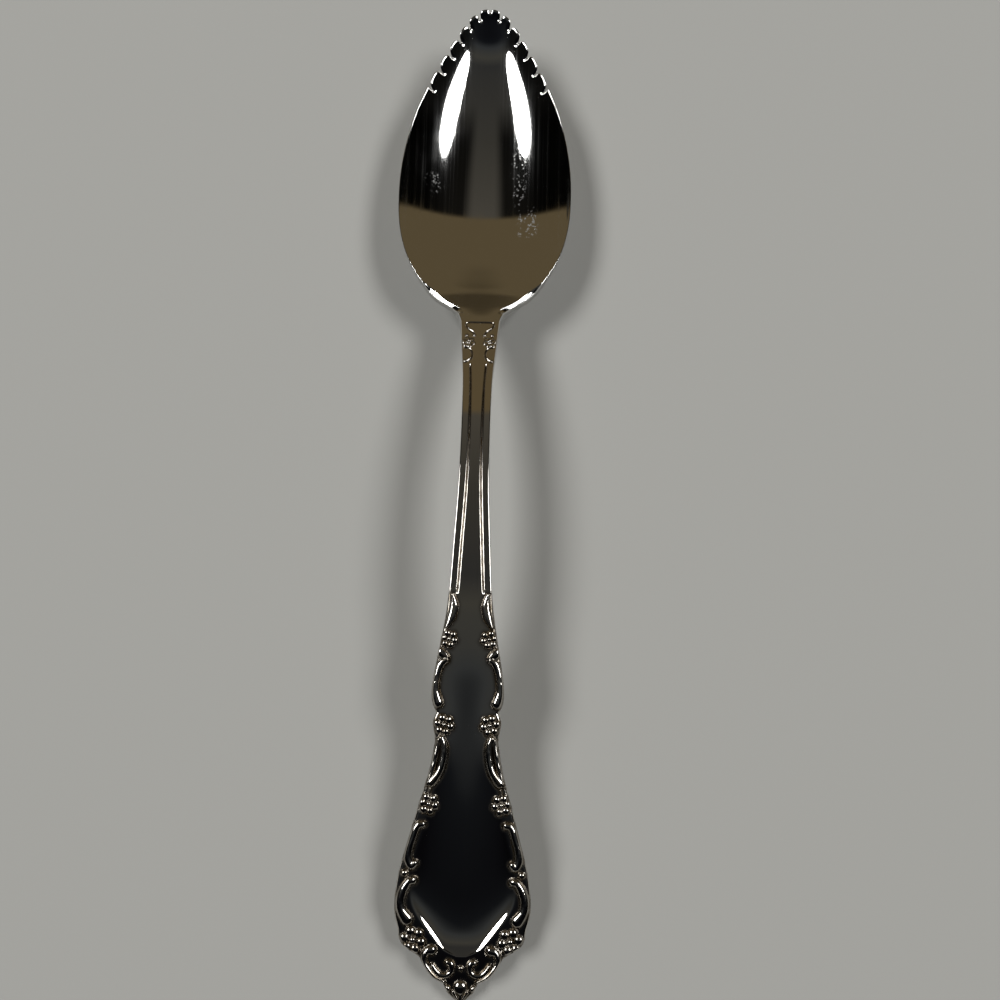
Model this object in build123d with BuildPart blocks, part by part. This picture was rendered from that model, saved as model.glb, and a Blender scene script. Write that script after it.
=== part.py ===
"""Grapefruit spoon: a pointed bowl with a toothed front edge on an arched handle with a struck border.

Stations are millimetres along the spoon from the end of the handle; the bowl points to +Y.
The spoon lies on its bowl and on the end of its handle, bowl upwards, as on a table.
"""
import os
from math import cos, hypot, pi

from build123d import *

# Lengths along the spoon
PLATE_LENGTH = 50.0
STEM_LENGTH = 46.5
BOWL_LENGTH = 58.5

# Widths across the spoon
FINIAL_WIDTH = 4.4
END_SCROLL_WIDTH = 11.3
END_WIDTH = 18.3
WAIST_WIDTH = 8.6
SHOULDER_WIDTH = 9.9
PLATE_TOP_WIDTH = 6.7
STEM_WIDTH = 4.25
NECK_WIDTH = 6.3
BOWL_WIDTH = 28.3
TIP_WIDTH = 3.0

# Heights above the table and thicknesses of the metal
PLATE_RISE = 12.4
NECK_HEIGHT = 9.3
RIM_HEIGHT = 7.2
TIP_HEIGHT = 10.2
END_THICKNESS = 1.7
PLATE_THICKNESS = 2.1
STEM_THICKNESS = 2.8
NECK_THICKNESS = 2.5
BOWL_METAL = 1.2
RIM_LAND = 0.5
RIM_EDGE = 0.7
WEAR_FLAT = 0.2
BACK_BEVEL = 0.45
END_SINK = 0.1

# Stations of the handle's outline, from its pointed end
FINIAL_LENGTH = 0.05 * PLATE_LENGTH
END_SCROLL_END = 0.112 * PLATE_LENGTH
END_BLOSSOM_END = 0.184 * PLATE_LENGTH
END_LOBE_AT = 0.246 * PLATE_LENGTH
END_LOBE_END = 0.33 * PLATE_LENGTH
FLARE_AT = 0.504 * PLATE_LENGTH
WAIST_AT = 0.668 * PLATE_LENGTH
WAIST_BLOSSOM_END = 0.742 * PLATE_LENGTH
SHOULDER_AT = 0.804 * PLATE_LENGTH
ARCH_BEFORE_NECK = 0.355 * STEM_LENGTH

# How far the rounded lobes of the outline stand out beyond their ends
END_LOBE_BULGE = 0.027 * END_WIDTH
END_SCROLL_BULGE = 0.025 * END_WIDTH
END_BLOSSOM_BULGE = 0.041 * END_WIDTH
WAIST_BLOSSOM_BULGE = 0.041 * WAIST_WIDTH

# Grooves inside the stem's edges
EDGE_BEAD = 1.2
GROOVE_WIDTH = 0.45
GROOVE_DEPTH = 0.3
GROOVE_FROM_NECK = 0.206 * STEM_LENGTH
GROOVE_FROM_PLATE = 0.065 * STEM_LENGTH

# Teeth of the bowl: a notch on the tip, then notches along each side at a growing pitch
SIDE_NOTCHES = 6
FIRST_PITCH = 2.05
PITCH_GROWTH = 0.15
NOTCH_RADIUS = 0.62
NOTCH_DEPTH = 1.2
NOTCH_MOUTH = 1.7

# Struck ornament: sizes in plan, sides of a petal, and heights above the handle's face
PETAL_RING = 0.0165 * PLATE_LENGTH
PETAL_RADIUS = 0.0125 * PLATE_LENGTH
BEAD_RADIUS = 0.0135 * PLATE_LENGTH
KNOB_RADIUS = 0.0165 * PLATE_LENGTH
SCROLL_HEIGHT = 0.6
PETAL_HEIGHT = 0.45
HEART_HEIGHT = 0.65
PETAL_SIDES = 8

HANDLE_LENGTH = PLATE_LENGTH + STEM_LENGTH
LENGTH = HANDLE_LENGTH + BOWL_LENGTH
ARCH_STATION = HANDLE_LENGTH - ARCH_BEFORE_NECK
HEADROOM = NECK_HEIGHT + TIP_HEIGHT


def along(station):
    """Y of a station."""
    return station - LENGTH / 2


def between(low, high, share):
    """Value at a share of the way from low to high."""
    return low + (high - low) * share


def crossing(edges, value, axis):
    """Point where a run of edges, each rising along X or Y, passes a value on that axis."""
    edge = edges[-1]
    for candidate in edges:
        if getattr(candidate @ 1, axis) >= value:
            edge = candidate
            break
    low, high = 0.0, 1.0
    for _ in range(40):
        middle = (low + high) / 2
        if getattr(edge @ middle, axis) < value:
            low = middle
        else:
            high = middle
    return edge @ high


# Side view of the handle's face as (Y, Z): straight over the plate, then one arch over the stem
plate_face = Line((along(0), END_THICKNESS - 0.9 * END_SINK), (along(PLATE_LENGTH), PLATE_RISE))
stem_face = TangentArc(plate_face @ 1, (along(HANDLE_LENGTH), NECK_HEIGHT), tangent=plate_face % 1)
side_points = (plate_face @ 0, plate_face @ 1, stem_face @ 0.5, stem_face @ 1)
BACK = (-END_THICKNESS, -PLATE_THICKNESS, -STEM_THICKNESS, -NECK_THICKNESS)


def face_height(station):
    """Height of the handle's face over a station."""
    return crossing((plate_face, stem_face), along(station), "X").Y


def lobe(start, end, bulge):
    """Arc from one outline point to the next, standing out to the right by its bulge."""
    return SagittaArc(start, end, -bulge)


# Plan of the handle: one half outline from the pointed end to the neck, then its mirror image
with BuildSketch() as handle_plan:
    with BuildLine():
        finial_edge = Spline(
            (0, along(0)),
            (0.7 * FINIAL_WIDTH / 2, along(0.42 * FINIAL_LENGTH)),
            (FINIAL_WIDTH / 2, along(FINIAL_LENGTH)),
        )
        lobe_root = END_WIDTH / 2 - END_LOBE_BULGE
        scroll_end = (END_SCROLL_WIDTH / 2, along(END_SCROLL_END))
        end_scroll_edge = lobe(finial_edge @ 1, scroll_end, END_SCROLL_BULGE)
        blossom_end = (lobe_root, along(END_BLOSSOM_END))
        end_blossom_edge = lobe(scroll_end, blossom_end, END_BLOSSOM_BULGE)
        lobe_crest = (END_WIDTH / 2, along(END_LOBE_AT))
        end_lobe_edge = ThreePointArc(blossom_end, lobe_crest, (lobe_root, along(END_LOBE_END)))
        waist = (WAIST_WIDTH / 2, along(WAIST_AT))
        flare_edge = Spline(
            end_lobe_edge @ 1,
            (between(WAIST_WIDTH / 2, lobe_root, 0.46), along(FLARE_AT)),
            waist,
            tangents=[end_lobe_edge % 1, (-0.12, 1)],
        )
        waist_end = (WAIST_WIDTH / 2, along(WAIST_BLOSSOM_END))
        waist_blossom_edge = lobe(waist, waist_end, WAIST_BLOSSOM_BULGE)
        shoulder_edge = Spline(
            waist_end,
            (SHOULDER_WIDTH / 2, along(SHOULDER_AT)),
            (between(PLATE_TOP_WIDTH, SHOULDER_WIDTH, 0.56) / 2, along(between(SHOULDER_AT, PLATE_LENGTH, 0.45))),
            (PLATE_TOP_WIDTH / 2, along(PLATE_LENGTH)),
            tangents=[(0.45, 1), (-0.12, 1)],
        )
        stem_edge = Spline(
            (PLATE_TOP_WIDTH / 2, along(PLATE_LENGTH)),
            (between(STEM_WIDTH, PLATE_TOP_WIDTH, 0.46) / 2, along(between(PLATE_LENGTH, ARCH_STATION, 0.24))),
            (between(STEM_WIDTH, PLATE_TOP_WIDTH, 0.05) / 2, along(between(PLATE_LENGTH, ARCH_STATION, 0.63))),
            (STEM_WIDTH / 2, along(ARCH_STATION)),
            (NECK_WIDTH / 2, along(HANDLE_LENGTH)),
            tangents=[(-0.12, 1), (0.1, 1)],
        )
        mirror(about=Plane.YZ)
        Line(stem_edge @ 1, (-NECK_WIDTH / 2, along(HANDLE_LENGTH)))
    make_face()

handle_edges = (
    finial_edge,
    end_scroll_edge,
    end_blossom_edge,
    end_lobe_edge,
    flare_edge,
    waist_blossom_edge,
    shoulder_edge,
    stem_edge,
)


def half_width(station):
    """Half the handle's width at a station."""
    return crossing(handle_edges, along(station), "Y").X


def on_face(station, inset):
    """Point on the handle's face at a station, set in from its right edge."""
    return Vector(half_width(station) - inset, along(station), face_height(station))


PLATE_SPAN = (0,)
STEM_SPAN = (1,)
WHOLE_SPAN = (0, 1)


def side_edge(offsets, span):
    """Side-view edge over the plate or the stem, moved up from the face by an offset at each point."""
    end, top, arch, neck = (point + Vector(0, rise) for point, rise in zip(side_points, offsets))
    return Line(end, top) if span == 0 else ThreePointArc(top, arch, neck)


def handle_layer(lower_offsets, upper_offsets, spans=WHOLE_SPAN):
    """Metal between two side-view lines, cut to the handle's plan."""
    with BuildPart() as layer:
        with BuildSketch(Plane.YZ.offset(-END_WIDTH)):
            with BuildLine():
                lower = [side_edge(lower_offsets, span) for span in spans]
                upper = [side_edge(upper_offsets, span) for span in spans]
                Line(lower[0] @ 0, upper[0] @ 0)
                Line(lower[-1] @ 1, upper[-1] @ 1)
            make_face()
        extrude(amount=2 * END_WIDTH)
        with BuildSketch(Plane.XY.offset(-END_SINK)):
            add(handle_plan.sketch)
        extrude(amount=HEADROOM, mode=Mode.INTERSECT)
    return layer.part


def even(offset):
    """The same offset along the whole handle."""
    return (offset,) * len(side_points)


def back_rims(part):
    """Edges round the back of a length of handle, without its joints to the next."""
    back_faces = part.faces().filter_by(lambda face: face.normal_at().Z < -0.5)
    return back_faces.edges().filter_by(Axis.X, reverse=True)


# Wide end of the handle, its back edges bevelled for the hand
with BuildPart() as handle_plate:
    add(handle_layer(BACK, even(0), PLATE_SPAN))
    chamfer(back_rims(handle_plate), length=BACK_BEVEL)

# Strips that the grooves take out of the stem's face
groove_stations = (
    PLATE_LENGTH + GROOVE_FROM_PLATE,
    between(PLATE_LENGTH, ARCH_STATION, 0.3),
    between(PLATE_LENGTH, ARCH_STATION, 0.63),
    ARCH_STATION,
    HANDLE_LENGTH - GROOVE_FROM_NECK,
)
with BuildPart() as grooves:
    add(handle_layer(even(-GROOVE_DEPTH), even(SCROLL_HEIGHT), STEM_SPAN))
    with BuildSketch():
        with BuildLine():
            Spline(*[(half_width(s) - EDGE_BEAD, along(s)) for s in groove_stations])
        trace(line_width=GROOVE_WIDTH)
        mirror(about=Plane.YZ)
    extrude(amount=HEADROOM, mode=Mode.INTERSECT)

# Slim stem between the wide end and the bowl
with BuildPart() as stem:
    add(handle_layer(BACK, even(0), STEM_SPAN))
    chamfer(back_rims(stem), length=BACK_BEVEL)
    add(grooves.part, mode=Mode.SUBTRACT)

# Design curves of the bowl: its edge in plan, then its rim in side view
HALF_BOWL = BOWL_WIDTH / 2
BOWL_BANDS = 12


def bowl_along(share):
    """Y at a share of the bowl's length from the neck."""
    return along(HANDLE_LENGTH + share * BOWL_LENGTH)


bowl_edge = Spline(
    (NECK_WIDTH / 2, bowl_along(0)),
    (between(NECK_WIDTH / 2, HALF_BOWL, 0.12), bowl_along(0.03)),
    (between(NECK_WIDTH / 2, HALF_BOWL, 0.36), bowl_along(0.067)),
    (between(NECK_WIDTH / 2, HALF_BOWL, 0.815), bowl_along(0.203)),
    (HALF_BOWL, bowl_along(0.402)),
    (between(TIP_WIDTH / 2, HALF_BOWL, 0.79), bowl_along(0.706)),
    (between(TIP_WIDTH / 2, HALF_BOWL, 0.387), bowl_along(0.9)),
    (TIP_WIDTH / 2, bowl_along(1)),
)
rim_line = Spline(
    (bowl_along(0), NECK_HEIGHT),
    (bowl_along(0.094), between(RIM_HEIGHT, NECK_HEIGHT, 0.51)),
    (bowl_along(0.256), between(RIM_HEIGHT, NECK_HEIGHT, 0.12)),
    (bowl_along(0.504), RIM_HEIGHT),
    (bowl_along(0.778), between(RIM_HEIGHT, TIP_HEIGHT, 0.33)),
    (bowl_along(1), TIP_HEIGHT),
)


def axis_height(half, edge, bottom):
    """Height of the centre of an arc across the bowl, from its edges through its bottom."""
    depth = edge - bottom
    return bottom + (half**2 + depth**2) / (2 * depth)


def turned_profile(axis, inset, drop, neck):
    """Half section between an axis and the face turned about it.

    The face meets the bowl's edge all along, set in from its outline and dropped from its rim.
    """
    points = [(bowl_along(0), neck)]
    for band in range(1, BOWL_BANDS + 1):
        place = bowl_along((1 - cos(pi * band / BOWL_BANDS)) / 2)
        half = crossing([bowl_edge], place, "Y").X - inset
        edge = crossing([rim_line], place, "X").Y - drop
        points.append((place, axis - hypot(half, axis - edge)))
    with BuildSketch(Plane.YZ) as profile:
        with BuildLine():
            Polyline((bowl_along(0), axis), *points, (bowl_along(1), axis), close=True)
        make_face()
    return profile.sketch


# The hollow and the belly of the bowl are each turned in bands about a line above it
hollow_axis = axis_height(HALF_BOWL - RIM_LAND, RIM_HEIGHT, BOWL_METAL - WEAR_FLAT)
belly_axis = axis_height(HALF_BOWL, RIM_HEIGHT - RIM_EDGE, -WEAR_FLAT)
hollow_profile = turned_profile(hollow_axis, RIM_LAND, 0, NECK_HEIGHT)
belly_profile = turned_profile(belly_axis, 0, RIM_EDGE, NECK_HEIGHT - NECK_THICKNESS)

# Bowl: belly under the rim, cut to its plan and hollowed, then the teeth and the flat that wear leaves below
with BuildPart() as bowl:
    revolve(belly_profile, axis=Axis((0, 0, belly_axis), (0, 1, 0)))
    with BuildSketch(Plane.YZ.offset(-BOWL_WIDTH)):
        with BuildLine():
            add(rim_line)
            Polyline(rim_line @ 0, (bowl_along(0), -BOWL_METAL), (bowl_along(1), -BOWL_METAL), rim_line @ 1)
        make_face()
    extrude(amount=2 * BOWL_WIDTH, mode=Mode.INTERSECT)
    with BuildSketch(Plane.XY.offset(-BOWL_METAL)):
        with BuildLine():
            add(bowl_edge)
            mirror(about=Plane.YZ)
            Line((NECK_WIDTH / 2, bowl_along(0)), (-NECK_WIDTH / 2, bowl_along(0)))
            Line((TIP_WIDTH / 2, bowl_along(1)), (-TIP_WIDTH / 2, bowl_along(1)))
        make_face()
    extrude(amount=HEADROOM, mode=Mode.INTERSECT)
    revolve(hollow_profile, axis=Axis((0, 0, hollow_axis), (0, 1, 0)), mode=Mode.SUBTRACT)
    with BuildSketch():
        for number in range(SIDE_NOTCHES + 1):
            from_tip = number * FIRST_PITCH + number**2 * PITCH_GROWTH
            mark = bowl_edge.length - max(0.0, from_tip - TIP_WIDTH / 2)
            spot = bowl_edge.position_at(mark, PositionMode.LENGTH)
            way = bowl_edge.tangent_at(mark, PositionMode.LENGTH)
            if number == 0:
                spot = Vector(0, along(LENGTH), 0)
                way = Vector(-1, 0, 0)
            inward = Plane((spot.X, spot.Y, 0), x_dir=way, z_dir=(0, 0, 1))
            root = NOTCH_DEPTH - NOTCH_RADIUS
            with Locations(inward.location):
                with Locations((0, root)):
                    Circle(NOTCH_RADIUS)
                Polygon(
                    (NOTCH_RADIUS, root),
                    (-NOTCH_RADIUS, root),
                    (-NOTCH_MOUTH / 2, -NOTCH_RADIUS),
                    (NOTCH_MOUTH / 2, -NOTCH_RADIUS),
                    align=None,
                )
        mirror(about=Plane.YZ)
    extrude(amount=HEADROOM, mode=Mode.SUBTRACT)
    split(bisect_by=Plane.XY, keep=Keep.TOP)


def struck(shape, height):
    """Plan shape and its mirror image, raised a height above the handle's face."""
    with BuildPart() as raised:
        add(handle_layer(even(0), even(height)))
        with BuildSketch():
            add(shape)
            mirror(about=Plane.YZ)
        extrude(amount=HEADROOM, mode=Mode.INTERSECT)
    return raised.part


def blossom(station, inset, size=1.0, petals=5):
    """Pair of blossoms: a ring of petals with a higher heart in its middle."""
    middle = on_face(station, inset)
    ring = size * PETAL_RING
    with BuildSketch() as petal_plan:
        with Locations((middle.X, middle.Y)):
            with PolarLocations(ring, petals):
                RegularPolygon(size * PETAL_RADIUS, PETAL_SIDES)
            RegularPolygon(ring, PETAL_SIDES)
    with BuildSketch() as heart_plan:
        with Locations((middle.X, middle.Y)):
            RegularPolygon(ring / 2, PETAL_SIDES)
    with BuildPart() as pair:
        add(struck(petal_plan.sketch, PETAL_HEIGHT))
        add(struck(heart_plan.sketch, HEART_HEIGHT))
    return pair.part


def scroll(first, middle, last, size=1.0):
    """Pair of scrolls: a bead along an arc with a round knob at each end."""
    first, middle, last = (on_face(*place) for place in (first, middle, last))
    with BuildSketch() as scroll_plan:
        with BuildLine():
            ThreePointArc((first.X, first.Y), (middle.X, middle.Y), (last.X, last.Y))
        trace(line_width=2 * size * BEAD_RADIUS)
        with Locations((first.X, first.Y), (last.X, last.Y)):
            Circle(size * KNOB_RADIUS)
    return struck(scroll_plan.sketch, SCROLL_HEIGHT)


def plate_at(share):
    """Station at a share of the plate's length from the pointed end."""
    return share * PLATE_LENGTH


def neck_at(share):
    """Station at a share of the stem's length back from the neck."""
    return HANDLE_LENGTH - share * STEM_LENGTH


# Struck ornament of the neck, each place as a station and an inset from the handle's edge
with BuildPart() as neck_scrolls:
    add(scroll((neck_at(0.041), 1.15), (neck_at(0.062), 1.7), (neck_at(0.081), 1.85), size=0.5))
    add(scroll((neck_at(0.15), 0.95), (neck_at(0.173), 1.2), (neck_at(0.197), 0.8), size=0.5))
with BuildPart() as neck_blossoms:
    add(blossom(neck_at(0.115), 1.2, size=0.7))

# Struck ornament of the shoulders
with BuildPart() as shoulder_buds:
    add(scroll((plate_at(1.044), 0.9), (plate_at(1.008), 1.25), (plate_at(0.972), 0.95), size=0.7))
with BuildPart() as shoulder_blossoms:
    add(blossom(plate_at(0.932), 1.25, size=0.9))
with BuildPart() as shoulder_scrolls:
    add(scroll((plate_at(0.884), 1.1), (plate_at(0.816), 0.85), (plate_at(0.76), 1.15), size=0.9))

# Struck ornament of the waist and of the flare below it
with BuildPart() as waist_blossoms:
    add(blossom(between(WAIST_AT, WAIST_BLOSSOM_END, 0.55), 1.45))
with BuildPart() as waist_scrolls:
    add(scroll((plate_at(0.656), 1.15), (plate_at(0.606), 1.25), (plate_at(0.554), 0.95)))
with BuildPart() as flare_blossoms:
    add(blossom(plate_at(0.502), 1.45))

# Struck ornament of the wide end
with BuildPart() as upper_side_scrolls:
    add(scroll((plate_at(0.448), 1.25), (plate_at(0.396), 1.0), (plate_at(0.348), 1.45)))
with BuildPart() as lower_side_scrolls:
    add(scroll((plate_at(0.302), 1.7), (plate_at(0.256), 1.0), (plate_at(0.214), 1.35)))
with BuildPart() as end_blossoms:
    add(blossom(plate_at(0.156), 1.75, size=1.15))
with BuildPart() as end_scrolls:
    add(scroll((plate_at(0.13), 2.95), (plate_at(0.078), 1.75), (plate_at(0.104), 4.25), size=0.9))
finial_leaf = on_face(0.76 * FINIAL_LENGTH, 0.62)
with BuildSketch() as leaf_plan:
    with Locations((0, along(0.74 * FINIAL_LENGTH))):
        Circle(0.95)
    with Locations((finial_leaf.X, finial_leaf.Y)):
        Circle(0.5)
with BuildSketch() as drop_plan:
    with Locations((0, along(0.74 * FINIAL_LENGTH))):
        Circle(0.6)
with BuildPart() as finial:
    add(struck(leaf_plan.sketch, PETAL_HEIGHT))
    add(struck(drop_plan.sketch, HEART_HEIGHT))

os.makedirs("parts", exist_ok=True)

bowl.part.label = "bowl"
export_step(bowl.part, "parts/bowl.step")
stem.part.label = "stem"
export_step(stem.part, "parts/stem.step")
handle_plate.part.label = "handle_plate"
export_step(handle_plate.part, "parts/handle_plate.step")
neck_scrolls.part.label = "neck_scrolls"
export_step(neck_scrolls.part, "parts/neck_scrolls.step")
neck_blossoms.part.label = "neck_blossoms"
export_step(neck_blossoms.part, "parts/neck_blossoms.step")
shoulder_buds.part.label = "shoulder_buds"
export_step(shoulder_buds.part, "parts/shoulder_buds.step")
shoulder_blossoms.part.label = "shoulder_blossoms"
export_step(shoulder_blossoms.part, "parts/shoulder_blossoms.step")
shoulder_scrolls.part.label = "shoulder_scrolls"
export_step(shoulder_scrolls.part, "parts/shoulder_scrolls.step")
waist_blossoms.part.label = "waist_blossoms"
export_step(waist_blossoms.part, "parts/waist_blossoms.step")
waist_scrolls.part.label = "waist_scrolls"
export_step(waist_scrolls.part, "parts/waist_scrolls.step")
flare_blossoms.part.label = "flare_blossoms"
export_step(flare_blossoms.part, "parts/flare_blossoms.step")
upper_side_scrolls.part.label = "upper_side_scrolls"
export_step(upper_side_scrolls.part, "parts/upper_side_scrolls.step")
lower_side_scrolls.part.label = "lower_side_scrolls"
export_step(lower_side_scrolls.part, "parts/lower_side_scrolls.step")
end_blossoms.part.label = "end_blossoms"
export_step(end_blossoms.part, "parts/end_blossoms.step")
end_scrolls.part.label = "end_scrolls"
export_step(end_scrolls.part, "parts/end_scrolls.step")
finial.part.label = "finial"
export_step(finial.part, "parts/finial.step")
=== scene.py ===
"""Grapefruit spoon of polished steel, lying on a pale floor under two soft side lights.

Stations are millimetres along the spoon from the pointed end of its handle, heights are millimetres
above the floor, and across is millimetres from the middle line. Meshes are made in metres.
"""

import bpy
import numpy as np
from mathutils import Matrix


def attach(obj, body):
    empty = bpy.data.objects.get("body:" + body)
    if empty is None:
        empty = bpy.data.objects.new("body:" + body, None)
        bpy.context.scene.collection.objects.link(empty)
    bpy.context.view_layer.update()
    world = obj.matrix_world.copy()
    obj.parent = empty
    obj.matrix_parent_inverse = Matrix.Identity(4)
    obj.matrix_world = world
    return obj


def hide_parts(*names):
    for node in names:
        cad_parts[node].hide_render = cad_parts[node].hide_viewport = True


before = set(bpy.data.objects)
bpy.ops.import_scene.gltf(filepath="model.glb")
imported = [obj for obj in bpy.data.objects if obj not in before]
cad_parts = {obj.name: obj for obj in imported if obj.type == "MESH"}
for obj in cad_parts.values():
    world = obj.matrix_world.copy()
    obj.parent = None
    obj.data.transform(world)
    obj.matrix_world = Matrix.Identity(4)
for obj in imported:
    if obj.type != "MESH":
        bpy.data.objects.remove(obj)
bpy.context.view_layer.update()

# Main sizes, the same as the solids have
MM = 0.001
LENGTH = 155.0
PLATE_END = 50.0
NECK = 96.5
FACE_START = 1.61
FACE_RISE = 12.4
NECK_HEIGHT = 9.3

# Rounding of the metal's edges: handle, its stem and its back, then the bowl's rim, heel, belly and teeth
TOP_ROUND = 0.45
STEM_ROUND = 0.18
BACK_ROUND = 0.6
RIM_ROUND = 0.3
HEEL_ROUND = 1.3
BELLY_ROUND = 0.35
TOOTH_ROUND = 0.5

# Teeth of the bowl: a notch on the tip, then notches along each side at a growing pitch
SIDE_NOTCHES = 6
FIRST_PITCH = 2.05
PITCH_GROWTH = 0.15
TIP_NOTCH = 0.35
SIDE_NOTCH = 0.95
NOTCH_FLOOR = 0.13
LAST_LEDGE = 0.4
TOOTH_FULLNESS = 2.7

# Half outline of the handle as (station, across), each run ending at a corner of the outline
HANDLE_OUTLINE = (
    ((0.0, 0.0), (0.55, 0.93), (1.05, 1.55), (2.0, 2.12), (2.5, 2.35)),
    ((2.5, 2.35), (3.0, 3.5), (3.7, 4.35), (4.4, 4.85), (5.6, 5.55)),
    ((5.6, 5.55), (6.3, 6.65), (7.0, 7.75), (7.8, 8.33), (9.2, 8.6)),
    ((9.2, 8.6), (10.9, 9.06), (12.3, 9.16), (14.7, 8.98), (16.6, 8.65), (19.8, 7.78), (25.0, 6.32),
     (29.5, 5.0), (33.4, 4.3)),
    ((33.4, 4.3), (34.6, 4.5), (36.0, 4.65), (37.1, 4.25)),
    ((37.1, 4.25), (38.0, 4.7), (39.9, 4.94), (43.2, 4.52), (47.8, 3.7), (51.8, 3.1), (57.3, 2.72),
     (68.5, 2.2), (80.4, 2.12), (85.6, 2.24), (90.3, 2.58), (94.8, 2.98), (96.5, 3.12), (99.0, 3.35)),
)
# Metal of the handle by station, the crown of its back and the stations over which the crown starts
HANDLE_METAL = ((0, 1.7), (50, 2.1), (73, 2.8), (96.5, 2.5), (100, 2.3))
BACK_CROWN = 0.15
CROWN_START = (0, 8)
# Stations over which the stem's slimmer edge rounding starts and ends
SLIM_STARTS = (50, 54)
SLIM_ENDS = (89, 95)

# Half outline of the bowl as (across, station), from the neck round to the tip and just past it
BOWL_OUTLINE = (
    (2.98, 94.8), (3.12, 96.5), (4.25, 98.9), (7.0, 101.0), (9.55, 103.9), (12.1, 108.5), (13.65, 114.0),
    (14.15, 119.6), (14.0, 125.8), (13.25, 131.2), (11.95, 136.5), (10.4, 141.0), (7.9, 146.3),
    (4.65, 151.75), (2.75, 153.9), (0.0, 155.0), (-2.75, 153.9),
)
# By station: the rim's height, the basin's depth as a share of its half width, metal below and at the edge
RIM_HEIGHT = (
    (92.0, 10.78), (94.5, 9.99), (96.5, 9.3), (98.5, 8.65), (101.0, 8.1), (104.0, 7.75), (108.0, 7.45),
    (113.0, 7.28), (119.6, 7.2), (126.0, 7.2), (133.9, 7.5), (142.0, 8.2), (149.2, 9.25), (152.5, 10.05),
    (155.2, 11.0),
)
BASIN_SHARE = (
    (94.0, 0.1), (96.5, 0.12), (99.0, 0.137), (102.4, 0.163), (104.5, 0.205), (107.0, 0.254), (110.0, 0.312),
    (113.0, 0.367), (116.0, 0.411), (118.2, 0.433), (120.0, 0.439), (126.0, 0.44), (134.0, 0.44),
    (140.0, 0.44), (145.0, 0.445), (148.5, 0.44), (150.5, 0.4), (152.5, 0.31), (155.2, 0.2),
)
BELLY_METAL = (
    (94.0, 2.2), (96.5, 2.2), (100.0, 2.0), (106.0, 1.35), (112.0, 1.15), (120.0, 1.15), (143.0, 1.1),
    (155.2, 0.95),
)
EDGE_METAL = (
    (94.0, 2.5), (96.5, 2.5), (99.0, 2.35), (102.0, 2.1), (105.0, 1.5), (109.0, 1.05), (115.0, 0.95),
    (155.2, 0.9),
)
# Tongue of the neck that runs down into the bowl: its slopes, its dish, and the eased crease at its foot
NECK_SLOPE = 0.36
TONGUE_SLOPE = 0.485
TONGUE_DISH = 0.017
TONGUE_DISH_START = (0, 3)
CREASE = 0.06
CREASE_START = (0, 1)
# Least half width and depths that an arc across the bowl is reckoned with
LEAST_HALF = 0.05
LEAST_DEPTH_SHARE = 0.002
LEAST_BELLY = 0.01


def through(points, where):
    """Smooth curve through a few (place, value) points: the natural cubic spline, read at where."""
    places, values = np.array(points, float).T
    step = np.diff(places)
    slope = np.diff(values) / step
    count = len(places)
    inner = np.arange(1, count - 1)
    system = np.eye(count)
    system[inner, inner - 1] = step[:-1]
    system[inner, inner] = 2 * (step[:-1] + step[1:])
    system[inner, inner + 1] = step[1:]
    right = np.zeros(count)
    right[inner] = 6 * np.diff(slope)
    bend = np.linalg.solve(system, right)
    run = np.clip(np.searchsorted(places, where) - 1, 0, count - 2)
    after = where - places[run]
    before = places[run + 1] - where
    width = step[run]
    cubic = (bend[run] * before**3 + bend[run + 1] * after**3) / (6 * width)
    start = (values[run] / width - bend[run] * width / 6) * before
    end = (values[run + 1] / width - bend[run + 1] * width / 6) * after
    return cubic + start + end


def ease(low, high, value):
    """Share of the way from low to high, eased in and out with the cubic 3t2 - 2t3."""
    share = np.clip((value - low) / (high - low), 0, 1)
    return share * share * (3 - 2 * share)


def stretch(starts, ends, value):
    """One along a stretch and nothing outside it, eased in over its starts and out over its ends."""
    return ease(*starts, value) * (1 - ease(*ends, value))


def round_off(radius, distance):
    """Drop of a quarter-round edge at a distance in from the edge: radius minus the circle's height."""
    short = np.clip(radius - distance, 0, radius)
    return radius - np.sqrt(radius**2 - short**2)


def face(station):
    """Height of the handle's face: a straight plate, then the circle that goes on from it to the neck."""
    slope = (FACE_RISE - FACE_START) / PLATE_END
    run = NECK - PLATE_END
    rise = NECK_HEIGHT - FACE_RISE
    lean = np.hypot(1, slope)
    radius = (run**2 + rise**2) * lean / (2 * (run * slope - rise))
    middle = PLATE_END + radius * slope / lean
    centre = FACE_RISE - radius / lean
    arch = centre + np.sqrt(radius**2 - (station - middle) ** 2)
    return np.where(station < PLATE_END, FACE_START + slope * station, arch)


def half_width(station):
    """Half width of the handle: the smooth run that holds the station.

    The first run is read by the station's square root, which rounds the handle's point.
    """
    width = np.zeros_like(station)
    for number, run in enumerate(HANDLE_OUTLINE):
        inside = (station >= run[0][0]) & (station <= run[-1][0])
        if number == 0:
            roots = [(np.sqrt(place), value) for place, value in run]
            width = np.where(inside, through(roots, np.sqrt(np.abs(station))), width)
        else:
            width = np.where(inside, through(run, station), width)
    return width


# Struck ornament on the right half of the handle
# Blossoms as (station, across) of the middle, radius and height
BLOSSOMS = (
    ((91.9, 1.62), 1.02, 0.2),
    ((46.7, 2.75), 1.3, 0.5),
    ((35.4, 3.1), 1.5, 0.6),
    ((25.1, 4.9), 1.5, 0.6),
    ((7.8, 6.5), 1.85, 0.7),
)
# Petals: number, first angle, and their ring, radius and height as shares of the blossom's; then its heart
PETALS = 6
PETAL_TURN = 0.3
PETAL_RING = 0.62
PETAL_RADIUS = 0.36
PETAL_HEIGHT = 0.7
HEART_RADIUS = 0.27
HEART_HEIGHT = 0.8
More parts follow.
